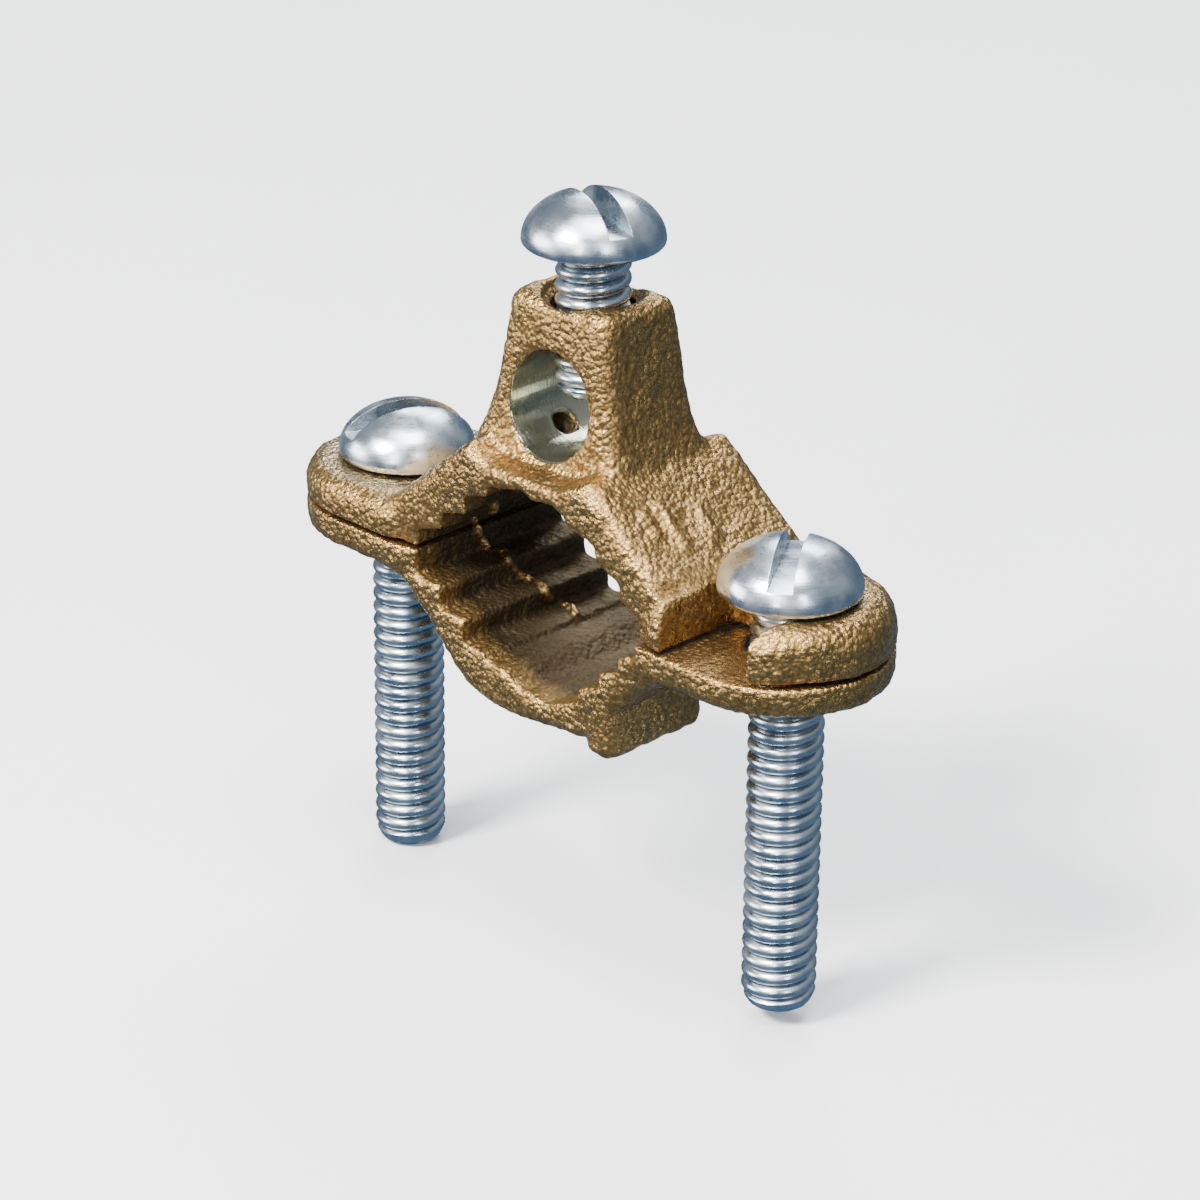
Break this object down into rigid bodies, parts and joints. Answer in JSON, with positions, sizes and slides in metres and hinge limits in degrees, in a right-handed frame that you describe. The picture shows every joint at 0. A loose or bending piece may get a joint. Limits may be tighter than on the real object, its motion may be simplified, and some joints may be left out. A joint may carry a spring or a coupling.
{
  "type": "pipe ground clamp",
  "caption": "Cast bronze pipe grounding clamp: two serrated jaws on two long screws, slotted ear for swing-open fitting, and a wire hole with a set screw in the upper jaw's tower.",
  "frame": {"origin": "middle of the pipe space, on the pipe's axis when the clamp is closed, in the parting plane of the lower jaw", "axes": "+Y along the pipe, +X towards the slotted ear, +Z towards the set screw"},
  "size_m": [0.0612, 0.0182, 0.0653],
  "materials": {
    "cast_bronze": "as-cast sand finish, fine rough grain",
    "zinc_plated_steel": "bright zinc plate"
  },
  "bodies": {
    "lower_jaw": {"lower_jaw": "cast_bronze"},
    "left_clamp_screw": {"left_clamp_screw": "zinc_plated_steel"},
    "right_clamp_screw": {"right_clamp_screw": "zinc_plated_steel"},
    "upper_jaw": {"upper_jaw": "cast_bronze"},
    "set_screw": {"set_screw": "zinc_plated_steel"}
  },
  "joints": [
    {"name": "left_screw_back_out", "type": "slide", "parent": "lower_jaw", "child": "left_clamp_screw", "axis": [0, 0, 1], "range_m": [0, 0.029]},
    {"name": "right_screw_back_out", "type": "slide", "parent": "lower_jaw", "child": "right_clamp_screw", "axis": [0, 0, 1], "range_m": [0, 0.029]},
    {"name": "upper_jaw_swing", "type": "hinge", "parent": "left_clamp_screw", "child": "upper_jaw", "pos_m": [-0.0222, 0, 0.0016], "axis": [0, 0, 1], "range_deg": [0, 180]},
    {"name": "set_screw_travel", "type": "slide", "parent": "upper_jaw", "child": "set_screw", "axis": [0, 0, 1], "range_m": [-0.003, 0.006]}
  ],
  "couplings": [
    {"joint": "right_screw_back_out", "follows": "left_screw_back_out", "ratio": 1}
  ]
}
